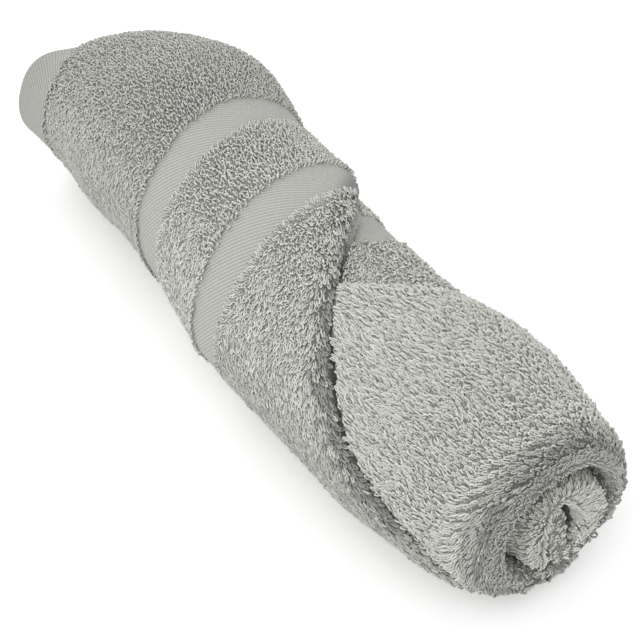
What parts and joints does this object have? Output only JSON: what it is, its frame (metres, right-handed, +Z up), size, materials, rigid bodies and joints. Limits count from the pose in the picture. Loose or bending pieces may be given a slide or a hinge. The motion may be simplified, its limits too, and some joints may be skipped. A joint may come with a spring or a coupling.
{
  "type": "rolled hand towel",
  "caption": "Cotton terry hand towel folded in half and rolled lengthways, with flat-woven border bands, a corner folded on the bias and a wound spiral end.",
  "frame": {"origin": "middle of the roll's footprint, on the surface it lies on", "axes": "+X along the roll, from the hemmed end to the end with the wound fold; +Y to the side where the turn below shows past the bias fold; +Z up"},
  "size_m": [0.3801, 0.1226, 0.1144],
  "materials": {
    "terry": "matte looped cotton pile with flat-woven bands and hems, sage grey"
  },
  "bodies": {
    "root": {"rolled_towel": "terry"}
  },
  "joints": []
}
